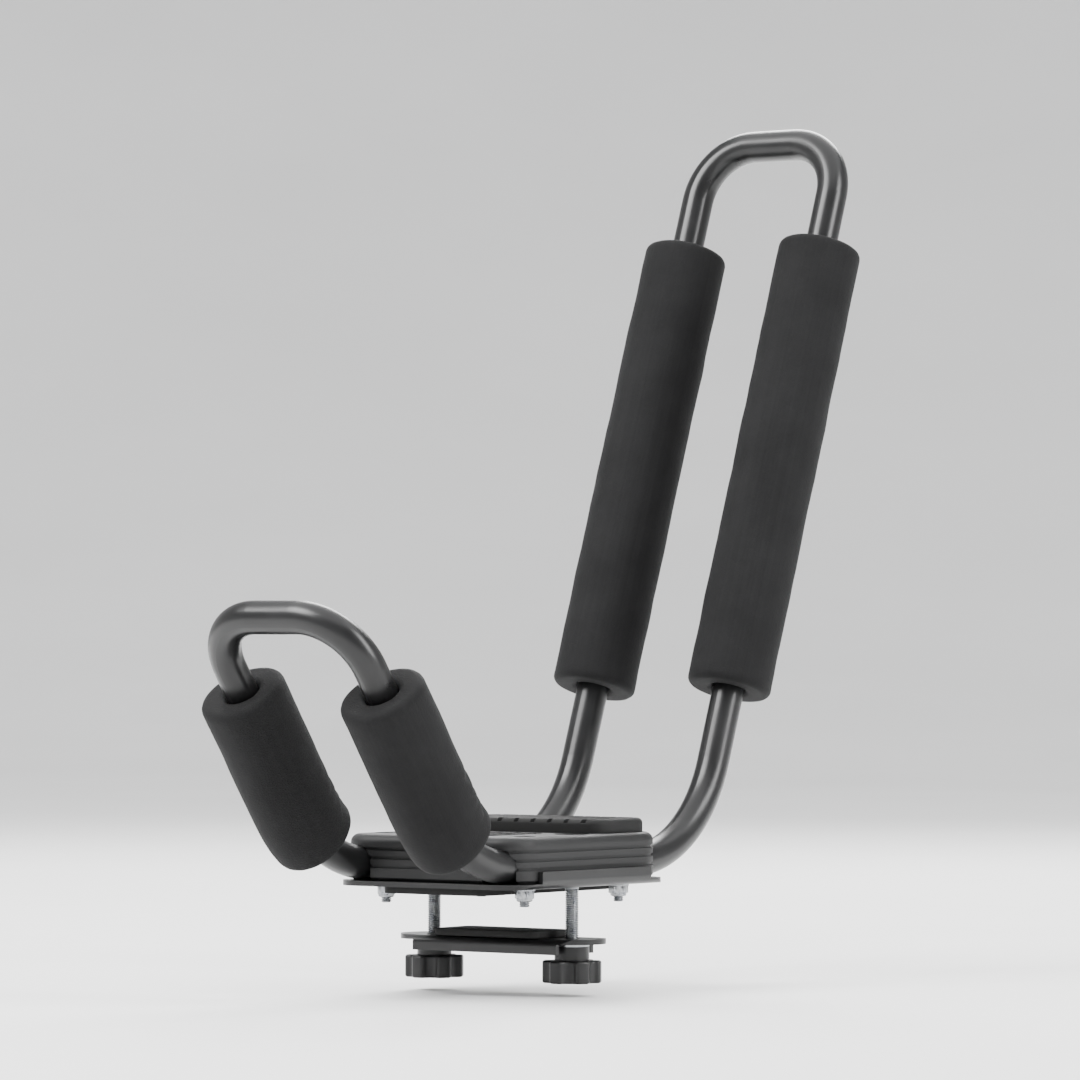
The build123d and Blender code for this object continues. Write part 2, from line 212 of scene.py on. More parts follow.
class Effect(Built):
    """Surface effects that several finishes share, each one shader group."""

    GRAIN = "fine_grain"
    CELLS = "closed_cells"
    SCUFFS = "fine_scuffs"
    DUST = "settled_dust"

    def put(self, nodes: Nodes, place: Socket, **amounts: float) -> Any:
        """The effect's outputs in a material, at coordinates and with its other inputs by name."""
        inputs = {"Vector": place, **amounts}
        return nodes.add("ShaderNodeGroup", inputs, node_tree=self.tree()).outputs

    def _start(self, amounts: tuple[str, ...], results: tuple[str, ...]) -> Group:
        """The effect's group, with coordinates, amounts and results."""
        inputs = {"Vector": "Vector", **dict.fromkeys(amounts, "Float")}
        return Group(self.value, "ShaderNodeTree", inputs, dict.fromkeys(results, "Float"))

    def _grain(self) -> Tree:
        """Fine height for a texture and a broad tone that drifts over the piece.

        Returns:
            The group's tree.
        """
        group = self._start(("Scale", "Broad"), ("Height", "Tone"))
        place = group.given["Vector"]
        fine = group.noise(place, group.given["Scale"], detail=3.0, roughness=0.62)
        broad = group.noise(place, group.given["Broad"], detail=4.0, roughness=0.55)
        return group.end({"Height": fine, "Tone": group.span(broad, low=0.32, high=0.68)})

    def _cells(self) -> Tree:
        """Rounded cells with thin walls, as in foam and spark-eroded moulds.

        Returns:
            The group's tree.
        """
        group = self._start(("Scale",), ("Height", "Walls"))
        inputs = {"Vector": group.given["Vector"], "Scale": group.given["Scale"]}
        dome, edge = (group.add("ShaderNodeTexVoronoi", inputs, feature=feature).outputs["Distance"]
                      for feature in ("SMOOTH_F1", "DISTANCE_TO_EDGE"))
        return group.end({"Height": group.span(dome, low=0.0, high=0.7, to_low=1.0, to_high=0.0),
                          "Walls": group.span(edge, low=0.0, high=0.12, to_low=1.0, to_high=0.0)})

    def _scuffs(self) -> Tree:
        """Thin rubbed lines in two directions.

        Returns:
            The group's tree.
        """
        group = self._start(("Scale", "Amount"), ("Mask",))
        lines = []
        for turn, stretch in (((0.5, 0.2, 0.9), (1.0, 0.03, 1.0)), ((1.3, 0.7, 0.1), (0.04, 1.0, 1.0))):
            inputs = {"Vector": group.given["Vector"], "Rotation": turn, "Scale": stretch}
            place = group.add("ShaderNodeMapping", inputs).outputs[0]
            streaks = group.noise(place, group.given["Scale"], detail=5.0, roughness=0.7)
            lines.append(group.span(streaks, low=0.6, high=0.7))
        both = group.math("MAXIMUM", *lines)
        return group.end({"Mask": group.math("MULTIPLY", both, group.given["Amount"])})

    def _dust(self) -> Tree:
        """Dust in patches on what faces up.

        Returns:
            The group's tree.
        """
        group = self._start(("Amount",), ("Mask",))
        normal = group.add("ShaderNodeNewGeometry").outputs["Normal"]
        facing = group.add("ShaderNodeSeparateXYZ", {0: normal}).outputs["Z"]
        upward = group.span(facing, low=0.1, high=1.0, ease="SMOOTHSTEP")
        cloud = group.noise(group.given["Vector"], scale=45.0, detail=6.0, roughness=0.65)
        settled = group.math("MULTIPLY", upward, group.span(cloud, low=0.38, high=0.72))
        return group.end({"Mask": group.math("MULTIPLY", settled, group.given["Amount"])})


@dataclass(frozen=True)
class Finish:
    """A surface finish that becomes one procedural material.

    The scales are cells per metre and the depths are metres.
    """

    name: str
    slot: str
    dark: Colour
    light: Colour
    gloss: tuple[float, float]
    metallic: float = 0.0
    grain: float = 900.0
    broad: float = 22.0
    grain_depth: float = 3e-5
    cells: float = 0.0
    cell_depth: float = 0.0
    scuffs: float = 0.0
    scuff_scale: float = 55.0
    dust: float = 0.0
    dust_colour: Colour = (0.12, 0.116, 0.108, 1.0)
    dust_dulling: float = 0.3
    specular: float = 0.5
    sheen: float = 0.0

    def material(self) -> bpy.types.Material:
        """The finish's material, built the first time it is asked for."""
        return bpy.data.materials.get(self.name) or self._build()

    def dress(self, *objects: Object) -> None:
        """Gives the finish to whole pieces.

        Args:
            objects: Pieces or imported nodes.
        """
        for obj in objects:
            obj.data.materials.clear()
            obj.data.materials.append(self.material())
            LOG.info("%s finished in %s", obj.name, self.name)

    def _pattern(self, nodes: Nodes, place: Socket, tone: Socket, height: Socket) -> tuple[Socket, Socket]:
        """The tone and height with the finish's own pattern, for a finish that has one."""
        return tone, height

    def _build(self) -> bpy.types.Material:
        """Builds the material.

        Returns:
            The new material.
        """
        material = bpy.data.materials.new(self.name)
        material.use_nodes = True
        material.diffuse_color = self.light
        material.node_tree.nodes.clear()
        nodes = Nodes(material.node_tree)
        place = nodes.add("ShaderNodeTexCoord").outputs["Object"]
        grain = Effect.GRAIN.put(nodes, place, Scale=self.grain, Broad=self.broad)
        height = nodes.math("MULTIPLY", grain["Height"], self.grain_depth)
        if self.cells:
            cells = Effect.CELLS.put(nodes, place, Scale=self.cells)
            height = nodes.math("MULTIPLY_ADD", cells["Height"], self.cell_depth, height)
        tone, height = self._pattern(nodes, place, grain["Tone"], height)
        colour = nodes.blend(tone, self.dark, self.light)
        rough = nodes.span(tone, 0.0, 1.0, *self.gloss)
        if self.scuffs:
            rubbed = Effect.SCUFFS.put(nodes, place, Scale=self.scuff_scale, Amount=self.scuffs)
            rough = nodes.math("ADD", rough, rubbed["Mask"])
        if self.dust:
            dusty = Effect.DUST.put(nodes, place, Amount=self.dust)["Mask"]
            colour = nodes.blend(dusty, colour, self.dust_colour)
            rough = nodes.math("MULTIPLY_ADD", dusty, self.dust_dulling, rough)
        bump = nodes.add("ShaderNodeBump", {"Height": height, "Distance": 1.0})
        shader = nodes.add("ShaderNodeBsdfPrincipled", {
            "Base Color": colour, "Roughness": rough, "Metallic": self.metallic, "Normal": bump.outputs[0],
            "Specular IOR Level": self.specular, "Sheen Weight": self.sheen})
        nodes.add("ShaderNodeOutputMaterial", {"Surface": shader.outputs[0]})
        return material


@dataclass(frozen=True)
class FoamFinish(Finish):
    """Closed-cell foam with a fine skin, drawn lines along the sleeve and open cells at its cut ends."""

    line_stretch: tuple[float, float, float] = (2.0, 90.0, 1.0)
    line_share: float = 0.35
    drift_share: float = 0.4
    wall_share: float = 0.25
    end_cells: float = 620.0
    end_depth: float = 2.5e-4

    def _pattern(self, nodes: Nodes, place: Socket, tone: Socket, height: Socket) -> tuple[Socket, Socket]:
        """Adds lines along the sleeve and pale cell walls to the tone, and open cells to the cut ends.

        Args:
            nodes: The material's nodes.
            place: Coordinates.
            tone: Share of the light colour.
            height: Height of the surface's texture.

        Returns:
            The tone and the height with the pattern.
        """
        along = nodes.add("ShaderNodeUVMap", uv_map=SLEEVE_UV).outputs[0]
        lines = nodes.add("ShaderNodeMapping", {"Vector": along, "Scale": self.line_stretch}).outputs[0]
        drawn = nodes.span(nodes.noise(lines, scale=1.0, detail=3.0, roughness=0.6), low=0.3, high=0.75)
        drift = nodes.math("MULTIPLY", tone, self.drift_share)
        smooth = nodes.math("MULTIPLY_ADD", drawn, self.line_share, drift)
        walls = Effect.CELLS.put(nodes, place, Scale=self.cells)["Walls"]
        cut = nodes.add("ShaderNodeAttribute", attribute_name=CUT_END).outputs["Fac"]
        open_walls = Effect.CELLS.put(nodes, place, Scale=self.end_cells)["Walls"]
        raised = nodes.math("MULTIPLY", open_walls, self.end_depth)
        return (nodes.math("MULTIPLY_ADD", walls, self.wall_share, smooth),
                nodes.math("MULTIPLY_ADD", raised, cut, height))


COAT = Finish("satin_powder_coat", "frame_coat", (0.004, 0.004, 0.0042, 1), (0.008, 0.008, 0.0084, 1),
              (0.27, 0.36), grain=620.0, grain_depth=2.2e-5, scuffs=0.05, dust=0.02, specular=0.38)
FOAM = FoamFinish("closed_cell_foam", "foam", (0.0025, 0.0025, 0.0027, 1), (0.0135, 0.0135, 0.0139, 1),
                  (0.78, 0.92), grain=2300.0, grain_depth=5e-5, cells=1150.0, cell_depth=1.4e-4, dust=0.03,
                  specular=0.17, sheen=0.008)
SADDLE = Finish("textured_nylon", "saddle_moulding", (0.006, 0.006, 0.0063, 1), (0.012, 0.012, 0.0124, 1),
                (0.46, 0.58), grain=2400.0, grain_depth=2e-5, cells=1700.0, cell_depth=3.5e-5, scuffs=0.06,
                dust=0.03, specular=0.3)
KNOB = Finish("smooth_nylon", "knob_moulding", (0.005, 0.005, 0.0052, 1), (0.010, 0.010, 0.0103, 1),
              (0.32, 0.44), grain=2200.0, grain_depth=1.4e-5, scuffs=0.06, dust=0.02, specular=0.36)
RUBBER = Finish("moulded_rubber", "rubber", (0.0045, 0.0045, 0.0045, 1), (0.0095, 0.0095, 0.0093, 1),
                (0.64, 0.78), grain=1900.0, grain_depth=3e-5, cells=2300.0, cell_depth=2e-5, dust=0.04,
                specular=0.24)
ZINC = Finish("zinc_plate", "zinc", (0.24, 0.25, 0.27, 1), (0.42, 0.425, 0.43, 1), (0.25, 0.40),
              metallic=1.0, grain=2600.0, broad=260.0, grain_depth=1.2e-5, scuffs=0.12)
BRASS = Finish("turned_brass", "brass", (0.50, 0.34, 0.12, 1), (0.68, 0.48, 0.20, 1), (0.22, 0.36),
               metallic=1.0, grain=2400.0, broad=240.0, grain_depth=1e-5, scuffs=0.10)
PAPER = Finish("studio_floor", "", (0.80, 0.80, 0.795, 1), (0.84, 0.84, 0.835, 1), (0.82, 0.9),
               grain=300.0, broad=1.5, grain_depth=2e-5)


def add_object(name: str, data: bpy.types.ID) -> Object:
    """Adds an object to the scene.

    Args:
        name: The object's name.
        data: Its mesh, curve, light or camera.

    Returns:
        The new object.
    """
    obj = bpy.data.objects.new(name, data)
    bpy.context.scene.collection.objects.link(obj)
    return obj


def add_piece(name: str, mesh: Mesh, body: str, finish: Finish, *nodes: str) -> Object:
    """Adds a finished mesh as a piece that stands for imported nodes.

    Args:
        name: The piece's name.
        mesh: Its mesh, in place.
        body: The body that it rides on.
        finish: Its finish.
        nodes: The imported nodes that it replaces.

    Returns:
        The new object.
    """
    mesh.name = name
    obj = add_object(name, mesh)
    finish.dress(obj)
    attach(obj, body)
    if nodes:
        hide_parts(*nodes)
    LOG.info("%s rides on %s, %d faces, stands for %s", name, body, len(mesh.polygons),
             ", ".join(nodes) or "no node")
    return obj


def clean(mesh: Mesh, sharp: float = math.radians(32)) -> Mesh:
    """Merges doubles, turns the faces outwards and shades them smooth up to an angle.

    Args:
        mesh: The mesh.
        sharp: Angle in radians past which an edge stays sharp.

    Returns:
        The same mesh.
    """
    edit = bmesh.new()
    edit.from_mesh(mesh)
    bmesh.ops.remove_doubles(edit, verts=edit.verts, dist=MERGE_DISTANCE)
    bmesh.ops.dissolve_degenerate(edit, edges=edit.edges, dist=MERGE_DISTANCE)
    bmesh.ops.recalc_face_normals(edit, faces=edit.faces)
    edit.to_mesh(mesh)
    edit.free()
    mesh.shade_smooth()
    mesh.set_sharp_from_angle(angle=sharp)
    return mesh


def modified(data: bpy.types.ID, kind: str, settings: dict[str, Any], inputs: dict[str, Any]) -> Mesh:
    """Gives a mesh or curve one modifier and its result as a plain mesh.

    Args:
        data: The mesh or curve.
        kind: The modifier's type.
        settings: The modifier's own properties.
        inputs: The inputs of its node tree by identifier.

    Returns:
        The new mesh.
    """
    host = add_object("host", data)
    modifier = host.modifiers.new("shape", kind)
    for key, value in settings.items():
        setattr(modifier, key, value)
    for key, value in inputs.items():
        modifier[key] = value
    bpy.context.view_layer.update()
    evaluated = host.evaluated_get(bpy.context.evaluated_depsgraph_get())
    mesh = bpy.data.meshes.new_from_object(evaluated)
    host.modifiers.remove(modifier)
    bpy.data.objects.remove(host)
    return mesh


class Shape(Built):
    """Geometry trees that make what repeats or follows a path."""

    SLEEVE = "sleeve_on_tube"
    THREAD = "rolled_thread"
    SET = "set_of_fasteners"

    def run(self, data: bpy.types.ID, values: dict[str, Any]) -> Mesh:
        """Runs the tree on a mesh or curve.

        Args:
            data: The mesh or curve that it starts from.
            values: The tree's inputs by name.

        Returns:
            The new mesh.
        """
        tree = self.tree()
        inputs = {item.identifier: values[item.name] for item in tree.interface.items_tree
                  if item.name in values}
        return modified(data, "NODES", {"node_group": tree}, inputs)

    def _start(self, *sizes: str, **others: str) -> Group:
        """The tree's group, with a geometry, sizes, inputs of other types and a material."""
        inputs = {"Geometry": "Geometry", **dict.fromkeys(sizes, "Float"), **others, "Material": "Material"}
        return Group(self.value, "GeometryNodeTree", inputs, {"Geometry": "Geometry"})

    @staticmethod
    def _end(group: Group, geometry: Socket) -> Tree:
        """Ends a tree in real geometry with its material.

        Args:
            group: The tree's group.
            geometry: What was made.

        Returns:
            The tree.
        """
        real = group.add("GeometryNodeRealizeInstances", {"Geometry": geometry}).outputs[0]
        inputs = {"Geometry": real, "Material": group.given["Material"]}
        return group.end({"Geometry": group.add("GeometryNodeSetMaterial", inputs).outputs[0]})

    @staticmethod
    def _wrapped_grid(group: Group) -> tuple[Socket, Socket, Socket, Socket]:
        """A unit grid of rings and segments that is to be wrapped round an axis.

        Args:
            group: The tree's group.

        Returns:
            The grid, the share along it, the angle round the axis and the grid's UV.
        """
        columns = group.math("ADD", group.given["Segments"], 1.0)
        grid = group.add("GeometryNodeMeshGrid", {
            "Size X": 1.0, "Size Y": 1.0, "Vertices X": group.given["Rings"], "Vertices Y": columns})
        place = group.add("ShaderNodeSeparateXYZ", {0: group.add("GeometryNodeInputPosition").outputs[0]})
        share = group.math("ADD", place.outputs["X"], 0.5)
        angle = group.math("MULTIPLY", group.math("ADD", place.outputs["Y"], 0.5), FULL_TURN)
        return grid.outputs["Mesh"], share, angle, grid.outputs["UV Map"]

    def _sleeve(self) -> Tree:
        """A soft sleeve round a centre line: a rounded wall, uneven to the eye, creased inside a bend.

        Returns:
            The tree.
        """
        group = self._start(
            "Outer Radius", "Inner Radius", "End Round", "Unevenness", "Crease Depth", "Crease Pitch",
            "Crease Start", "Crease End", "Crease Drift", "Crease Edge", "Seed",
            Inside="Vector", Rings="Int", Segments="Int")
        line, inner, outer = (group.given[name] for name in ("Geometry", "Inner Radius", "Outer Radius"))
        length = group.add("GeometryNodeCurveLength", {"Curve": line}).outputs[0]
        wall = group.math("SUBTRACT", outer, inner)
        section = group.add("GeometryNodeCurvePrimitiveQuadrilateral", {"Width": length, "Height": wall})
        rounded = group.add("GeometryNodeFilletCurve", {
            "Curve": section.outputs[0], "Radius": group.given["End Round"], "Limit Radius": True,
            "Count": 6}, mode="POLY")
        grid, share, angle, uv = self._wrapped_grid(group)
        wrap = group.add("GeometryNodeSampleCurve", {"Curves": rounded.outputs[0], "Factor": share},
                         mode="FACTOR").outputs
        spot = group.add("ShaderNodeSeparateXYZ", {0: wrap["Position"]}).outputs
        along = group.math("MULTIPLY_ADD", length, 0.5, spot["X"])
        radius = group.math("ADD", spot["Y"], group.math("MULTIPLY_ADD", wall, 0.5, inner))
        on_line = group.add("GeometryNodeSampleCurve", {"Curves": line, "Length": along},
                            mode="LENGTH").outputs
        side = group.vector("CROSS_PRODUCT", on_line["Tangent"], on_line["Normal"])
        outward = group.vector("ADD", group.scaled(on_line["Normal"], group.math("COSINE", angle)),
                               group.scaled(side, group.math("SINE", angle)))
        plain = group.vector("ADD", on_line["Position"], group.scaled(outward, radius))
        skin = group.span(radius, inner, outer, ease="SMOOTHSTEP")
        lumps = group.add("ShaderNodeTexNoise", {"Vector": plain, "W": group.given["Seed"], "Scale": 34.0,
                                                 "Detail": 2.0, "Roughness": 0.45},
                          noise_dimensions="4D").outputs[0]
        creases = self._creases(group, along, outward, lumps)
        swell = group.math("MULTIPLY", group.math("SUBTRACT", lumps, 0.5), group.given["Unevenness"])
        moved = group.math("MULTIPLY", group.math("SUBTRACT", swell, creases), skin)
        final = group.vector("ADD", plain, group.scaled(outward, moved))
        shaped = group.add("GeometryNodeSetPosition", {"Geometry": grid, "Position": final}).outputs[0]
        slope = group.add("ShaderNodeSeparateXYZ", {0: wrap["Tangent"]}).outputs["Y"]
        marked = group.add("GeometryNodeStoreNamedAttribute", {
            "Geometry": shaped, "Name": CUT_END, "Value": group.math("ABSOLUTE", slope)},
            data_type="FLOAT", domain="POINT").outputs[0]
        mapped = group.add("GeometryNodeStoreNamedAttribute", {
            "Geometry": marked, "Name": SLEEVE_UV, "Value": uv},
            data_type="FLOAT2", domain="CORNER").outputs[0]
        closed = group.add("GeometryNodeMergeByDistance", {"Geometry": mapped, "Distance": 1e-5})
        return self._end(group, closed.outputs[0])

    @staticmethod
    def _creases(group: Group, along: Socket, outward: Socket, lumps: Socket) -> Socket:
        """Depth of the creases on the inner side of a bend.

        Args:
            group: The tree's group.
            along: Place along the sleeve.
            outward: Direction away from the centre line.
            lumps: A value round 0.5 that keeps the creases from being even.

        Returns:
            The depth.
        """
        given = group.given
        start, end, pitch = given["Crease Start"], given["Crease End"], given["Crease Pitch"]
        fade_in = group.span(along, start, group.math("ADD", start, pitch), ease="SMOOTHSTEP")
        fade_out = group.span(along, group.math("SUBTRACT", end, pitch), end, 1.0, 0.0, ease="SMOOTHSTEP")
        facing = group.vector("DOT_PRODUCT", outward, given["Inside"], result="Value")
        inside = group.span(facing, low=0.05, high=0.8, ease="SMOOTHSTEP")
        count = group.math("DIVIDE", group.math("SUBTRACT", along, start), pitch)
        drifted = group.math("MULTIPLY_ADD", lumps, given["Crease Drift"], count)
        wave = group.math("ABSOLUTE", group.math("SINE", group.math("MULTIPLY", drifted, math.pi)))
        valley = group.math("POWER", group.math("SUBTRACT", 1.0, wave), given["Crease Edge"])
        share = group.span(lumps, low=0.3, high=0.7, to_low=0.35)
        deep = group.math("MULTIPLY", share, given["Crease Depth"])
        window = group.math("MULTIPLY", fade_in, fade_out)
        return group.math("MULTIPLY", group.math("MULTIPLY", valley, deep),
                          group.math("MULTIPLY", window, inside))

    def _thread(self) -> Tree:
        """A blank with an open lower end, carried on down the Z axis as a screw thread to a pointed tip.

        Returns:
            The tree.
        """
        group = self._start("Radius", "Depth", "Pitch", "Top", "Length", "Tip", Rings="Int", Segments="Int")
        given = group.given
        full_length, last_ring = 0.998, 0.9995
        grid, share, angle, _ = self._wrapped_grid(group)
        drop = group.math("MULTIPLY", group.span(share, low=0.0, high=full_length), given["Length"])
        turns = group.math("DIVIDE", drop, given["Pitch"])
        phase = group.math("FRACT", group.math("MULTIPLY_ADD", angle, 1 / FULL_TURN, turns))
        wave = group.math("ABSOLUTE", group.math("MULTIPLY_ADD", phase, 2.0, -1.0))
        flank = group.span(wave, low=0.12, high=0.88)
        runout = group.span(turns, low=0.0, high=2.0)
        cut = group.math("MULTIPLY", group.math("MULTIPLY", flank, runout), given["Depth"])
        threaded = group.math("SUBTRACT", given["Radius"], cut)
        left = group.math("SUBTRACT", given["Length"], drop)
        point = group.math("ADD", group.math("SUBTRACT", given["Radius"], given["Tip"]), left)
        above_tip = group.math("LESS_THAN", share, last_ring)
        radius = group.math("MULTIPLY", group.math("MINIMUM", threaded, point), above_tip)
        place = group.add("ShaderNodeCombineXYZ", {
            "X": group.math("MULTIPLY", radius, group.math("COSINE", angle)),
            "Y": group.math("MULTIPLY", radius, group.math("SINE", angle)),
            "Z": group.math("SUBTRACT", given["Top"], drop)}).outputs[0]
        thread = group.add("GeometryNodeSetPosition", {"Geometry": grid, "Position": place}).outputs[0]
        closed = group.add("GeometryNodeMergeByDistance", {"Geometry": thread, "Distance": MERGE_DISTANCE})
        whole = group.add("GeometryNodeJoinGeometry")
        for half in (given["Geometry"], closed.outputs[0]):
            group.tree.links.new(half, whole.inputs[0])
        return self._end(group, whole.outputs[0])

    def _set(self) -> Tree:
        """Four like fasteners at the corners of a rectangle, each turned at random.

        Returns:
            The tree.
        """
        group = self._start("Spacing X", "Spacing Y", "Turn", Seed="Int")
        given = group.given
        corners = group.add("GeometryNodeMeshGrid", {
            "Size X": given["Spacing X"], "Size Y": given["Spacing Y"], "Vertices X": 2, "Vertices Y": 2})
        turn = group.add("FunctionNodeRandomValue", {3: given["Turn"], "Seed": given["Seed"]},
                         data_type="FLOAT")
        rotation = group.add("ShaderNodeCombineXYZ", {"Z": turn.outputs[1]})
        copies = group.add("GeometryNodeInstanceOnPoints", {
            "Points": corners.outputs["Mesh"], "Instance": given["Geometry"],
            "Rotation": rotation.outputs[0]})
        return self._end(group, copies.outputs[0])


class Outline(Enum):
    """Outline of a ring on a turned piece, by its number of flats."""

    ROUND = 0
    SQUARE = 4
    HEXAGON = 6

    def reach(self, flat: float, angle: float) -> float:
        """Distance from the axis to the outline.

        Args:
            flat: Radius, or distance to a flat.
            angle: Angle round the axis.

        Returns:
            The distance.
        """
        if self is Outline.ROUND:
            return flat
        step = FULL_TURN / self.value
        return flat / math.cos((angle + step / 2) % step - step / 2)


@dataclass(frozen=True)
class Ring:
    """One ring of a turned piece: height, size, outline and the circle that its corners are turned to."""

    height: float
    flat: float
    outline: Outline = Outline.ROUND
    corner: float = math.inf

    def point(self, angle: float) -> Vector:
        """The ring's point at an angle round the Z axis."""
        reach = min(self.outline.reach(self.flat, angle), self.corner)
        return Vector((reach * math.cos(angle), reach * math.sin(angle), self.height))


def turned(name: str, rings: list[Ring], hollow: bool = False, blank: bool = False,
           segments: int = ROUND_SEGMENTS) -> Mesh:
    """Joins rings into a mesh round the Z axis.

    Args:
        name: The mesh's name.
        rings: Rings in order along the surface.
        hollow: Whether the last ring joins the first, round a hole.
        blank: Whether the last ring stays open.
        segments: Faces round the axis, a multiple of 24 so that corners have points.

    Returns:
        The new mesh.
    """
    edit = bmesh.new()
    angles = [FULL_TURN * step / segments for step in range(segments)]
    rows = [[edit.verts.new(ring.point(angle)) for angle in angles] for ring in rings]
    pairs = list(zip(rows, rows[1:])) + ([(rows[-1], rows[0])] if hollow else [])
    for upper, lower in pairs:
        for step in range(segments):
            after = (step + 1) % segments
            edit.faces.new((upper[step], upper[after], lower[after], lower[step]))
    if not hollow:
        edit.faces.new(rows[0])
    if not (hollow or blank):
        edit.faces.new(list(reversed(rows[-1])))
    mesh = bpy.data.meshes.new(name)
    edit.to_mesh(mesh)
    edit.free()
    return clean(mesh)


def arc_rings(centre: tuple[float, float], radius: float, start: float, end: float,
              steps: int) -> list[Ring]:
    """Round rings along an arc of a turned profile.

    Args:
        centre: Distance from the axis and height of the arc's centre.
        radius: The arc's radius.
        start: First angle in degrees, 90 at the top.
        end: Last angle in degrees.
        steps: Number of rings past the first.

    Returns:
        The rings.
    """
    angles = [math.radians(start + (end - start) * step / steps) for step in range(steps + 1)]
    return [Ring(centre[1] + radius * math.sin(a), centre[0] + radius * math.cos(a)) for a in angles]


@dataclass(frozen=True)
class Thread:
    """A rolled thread that carries on the shank of a fastener."""

    radius: float
    pitch: float
    depth: float
    top: float
    tip: float
    rings_per_turn: float

    def carry_on(self, rings: list[Ring], end: float) -> Mesh:
        """Turns a blank and carries it on as a thread.

        Args:
            rings: The blank's rings above its shank.
            end: Height of the thread's lower end.

        Returns:
            The whole fastener, on the Z axis.
        """
        shank = [Ring(rings[-1].height, self.radius), Ring(self.top, self.radius)]
        blank = turned("blank", rings + shank, blank=True)
        length = self.top - end
        return Shape.THREAD.run(blank, {
            "Rings": round(length / self.pitch * self.rings_per_turn), "Segments": ROUND_SEGMENTS,
            "Radius": self.radius, "Depth": self.depth, "Pitch": self.pitch, "Top": self.top,
            "Length": length, "Tip": self.tip, "Material": ZINC.material()})


@dataclass(frozen=True)
class LockNut:
    """A hexagon nut with turned corners, narrowed below round a nylon collar.

    The two profiles are heights above the nut's lower end and radii.
    """

    flat: float = 0.005
    bore: float = 0.00305
    turned_corner: float = 0.0051
    full_corner: float = 0.00578
    chamfer: float = 0.0004
    shoulder: float = 0.0016
    neck: Profile = ((0.0015, 0.0046), (0.0005, 0.0046), (0.0, 0.004), (0.0, 0.0034), (0.0002, 0.0033),
                     (0.0014, 0.0033), (0.0014, 0.00305))
    collar: Profile = ((0.0004, 0.00305), (0.0003, 0.00325), (0.0003, 0.0033), (0.0013, 0.0033),
                       (0.0013, 0.00305))

    def metal(self, low: float, high: float) -> Mesh:
        """The nut between two heights, on the Z axis.

        Args:
            low: Height of its lower end.
            high: Height of its upper face.

        Returns:
            Its mesh.
        """
        shoulder = low + self.shoulder
        sides = ((high, self.turned_corner), (high - self.chamfer, self.full_corner),
                 (shoulder + self.chamfer, self.full_corner), (shoulder, self.turned_corner))
        rings = [Ring(high, self.bore),
                 *(Ring(height, self.flat, Outline.HEXAGON, corner) for height, corner in sides),
                 *(Ring(low + height, radius) for height, radius in self.neck)]
        return turned("nut", rings, hollow=True)

    def nylon(self, low: float) -> Mesh:
        """The collar of a nut whose lower end is at a height."""
        return turned("collar", [Ring(low + height, radius) for height, radius in self.collar], hollow=True)


@dataclass(frozen=True)
class ArmSizes:
    """Where one arm's tubes run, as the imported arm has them."""

    side: int
    lean: float
    straight: float
    wrap: float
    bare_low: float
    bare_high: float
    flat: float = 0.060
    height: float = 0.0166
    bend: float = 0.085

    @property
    def turn(self) -> float:
        """Angle of the whole bend."""
        return math.pi / 2 - self.lean

    def bend_point(self, x: float, turned_by: float) -> Vector:
        """Point of a leg's centre line part of the way round the bend, at the leg's X."""
        reach = self.flat + self.bend * math.sin(turned_by)
        return Vector((x, self.side * reach, self.height + self.bend * (1 - math.cos(turned_by))))

    def direction(self, turned_by: float) -> Vector:
        """Direction of the centre line part of the way round the bend."""
        return Vector((0, self.side * math.cos(turned_by), math.sin(turned_by)))

    def inner_side(self, turned_by: float) -> Vector:
        """Direction from the centre line to the middle of the bend."""
        return Vector((0, -self.side * math.sin(turned_by), math.cos(turned_by)))


class Arm(Choice):
    """The two arms of the cradle."""

    TALL = ArmSizes(side=1, lean=math.radians(20), straight=0.365, wrap=0.0, bare_low=0.045, bare_high=0.035)
    SHORT = ArmSizes(side=-1, lean=math.radians(36), straight=0.096, wrap=math.radians(18), bare_low=0.0,
                     bare_high=0.016)


